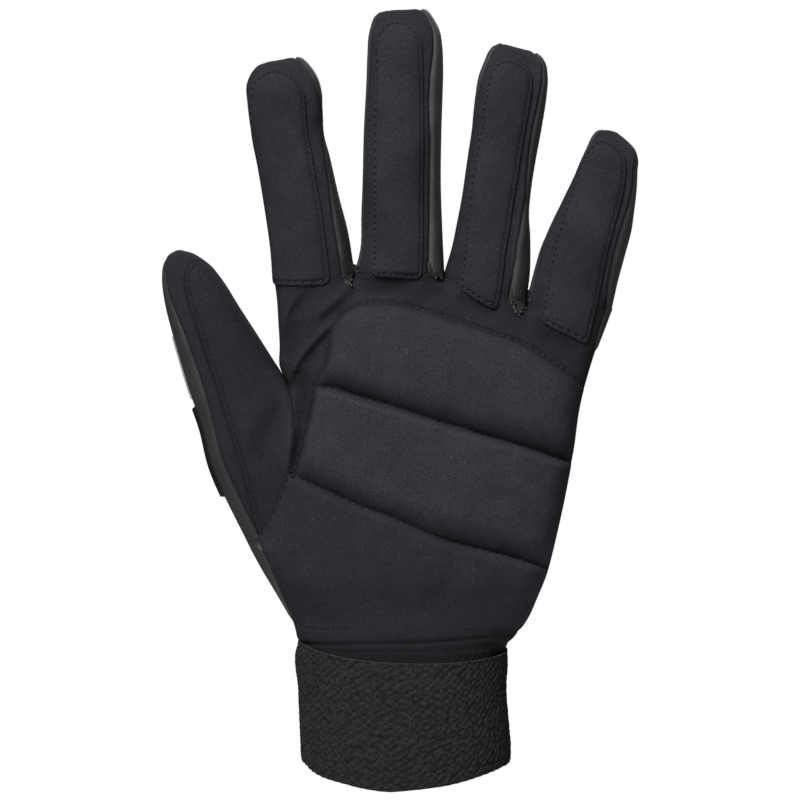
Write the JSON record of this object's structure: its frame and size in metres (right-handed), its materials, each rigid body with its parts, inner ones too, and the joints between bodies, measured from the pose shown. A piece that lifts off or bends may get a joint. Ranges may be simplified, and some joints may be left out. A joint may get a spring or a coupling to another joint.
{
  "type": "base running glove",
  "caption": "Black padded left-hand glove with a quilted suede palm, stitched finger patches, a smooth back and a knitted cuff, which bends at its finger, thumb and wrist folds.",
  "frame": {"origin": "centre of the hand opening, at the level of the cuff's side hem", "axes": "+Z from the cuff to the fingertips, the palm faces -Y, the thumb is at -X"},
  "size_m": [0.1465, 0.045, 0.2413],
  "materials": {
    "suede": "matt brushed suede",
    "patch_suede": "matt brushed suede",
    "hide": "smooth satin synthetic hide",
    "knit": "bulky waffle knit",
    "lining": "thin matt tricot",
    "foam": "soft closed-cell foam",
    "elastic": "gathered elastic under suede",
    "pale_rubber": "plain satin moulding",
    "black_rubber": "plain satin moulding"
  },
  "bodies": {
    "hand": {"palm_panel": "suede", "upper_pad_foam": "foam", "middle_pad_foam": "foam", "heel_pad_foam": "foam", "palm_lining": "lining", "back_panel": "hide", "wrist_elastic": "elastic"},
    "cuff": {"cuff_knit": "knit", "cuff_lining": "knit"},
    "thumb_base": {"thumb_lower_front": "suede", "thumb_lower_back": "hide", "thumb_guard_lower": "black_rubber", "thumb_guard_upper": "pale_rubber"},
    "thumb_tip": {"thumb_upper_front": "suede", "thumb_upper_back": "hide"},
    "index_lower": {"index_lower_front": "suede", "index_lower_back": "hide", "index_lower_right_strip": "hide", "index_lower_patch": "patch_suede"},
    "index_upper": {"index_upper_front": "suede", "index_upper_back": "hide", "index_upper_right_strip": "hide", "index_upper_patch": "patch_suede"},
    "middle_lower": {"middle_lower_front": "suede", "middle_lower_back": "hide", "middle_lower_left_strip": "hide", "middle_lower_right_strip": "hide", "middle_lower_patch": "patch_suede"},
    "middle_upper": {"middle_upper_front": "suede", "middle_upper_back": "hide", "middle_upper_left_strip": "hide", "middle_upper_right_strip": "hide", "middle_upper_patch": "patch_suede"},
    "ring_lower": {"ring_lower_front": "suede", "ring_lower_back": "hide", "ring_lower_left_strip": "hide", "ring_lower_right_strip": "hide", "ring_lower_patch": "patch_suede"},
    "ring_upper": {"ring_upper_front": "suede", "ring_upper_back": "hide", "ring_upper_left_strip": "hide", "ring_upper_right_strip": "hide", "ring_upper_patch": "patch_suede"},
    "little_lower": {"little_lower_front": "suede", "little_lower_back": "hide", "little_lower_left_strip": "hide", "little_lower_patch": "patch_suede"},
    "little_upper": {"little_upper_front": "suede", "little_upper_back": "hide", "little_upper_left_strip": "hide", "little_upper_patch": "patch_suede"}
  },
  "joints": [
    {"name": "wrist_bend", "type": "hinge", "parent": "hand", "child": "cuff", "pos_m": [0, 0, 0.037], "axis": [1, 0, 0], "range_deg": [-18, 18], "stiffness_Nm_per_rad": 0.15},
    {"name": "thumb_fold", "type": "hinge", "parent": "hand", "child": "thumb_base", "pos_m": [-0.0422, -0.0113, 0.09565], "axis": [0.2275, 0, 0.9738], "range_deg": [0, 50], "stiffness_Nm_per_rad": 0.08},
    {"name": "thumb_tip_bend", "type": "hinge", "parent": "thumb_base", "child": "thumb_tip", "pos_m": [-0.06215, -0.0098, 0.14215], "axis": [0.9459, 0, 0.3244], "range_deg": [0, 60], "stiffness_Nm_per_rad": 0.02},
    {"name": "index_knuckle_bend", "type": "hinge", "parent": "hand", "child": "index_lower", "pos_m": [-0.02814, -0.01136, 0.1516], "axis": [0.9968, 0, 0.0802], "range_deg": [0, 85], "stiffness_Nm_per_rad": 0.06},
    {"name": "index_middle_bend", "type": "hinge", "parent": "index_lower", "child": "index_upper", "pos_m": [-0.03366, -0.01033, 0.18567], "axis": [0.9968, 0, 0.0802], "range_deg": [0, 95], "stiffness_Nm_per_rad": 0.03},
    {"name": "middle_knuckle_bend", "type": "hinge", "parent": "hand", "child": "middle_lower", "pos_m": [-0.00138, -0.01143, 0.1528], "axis": [1, 0, -0.0087], "range_deg": [0, 85], "stiffness_Nm_per_rad": 0.06},
    {"name": "middle_middle_bend", "type": "hinge", "parent": "middle_lower", "child": "middle_upper", "pos_m": [-0.00068, -0.01061, 0.19335], "axis": [1, 0, -0.0087], "range_deg": [0, 95], "stiffness_Nm_per_rad": 0.03},
    {"name": "ring_knuckle_bend", "type": "hinge", "parent": "hand", "child": "ring_lower", "pos_m": [0.02479, -0.0109, 0.1476], "axis": [0.9982, 0, -0.0593], "range_deg": [0, 85], "stiffness_Nm_per_rad": 0.06},
    {"name": "ring_middle_bend", "type": "hinge", "parent": "ring_lower", "child": "ring_upper", "pos_m": [0.02841, -0.00952, 0.18554], "axis": [0.9982, 0, -0.0593], "range_deg": [0, 95], "stiffness_Nm_per_rad": 0.03},
    {"name": "little_knuckle_bend", "type": "hinge", "parent": "hand", "child": "little_lower", "pos_m": [0.04949, -0.01037, 0.139], "axis": [0.9934, 0, -0.1149], "range_deg": [0, 85], "stiffness_Nm_per_rad": 0.06},
    {"name": "little_middle_bend", "type": "hinge", "parent": "little_lower", "child": "little_upper", "pos_m": [0.05693, -0.0107, 0.16809], "axis": [0.9934, 0, -0.1149], "range_deg": [0, 95], "stiffness_Nm_per_rad": 0.03}
  ]
}
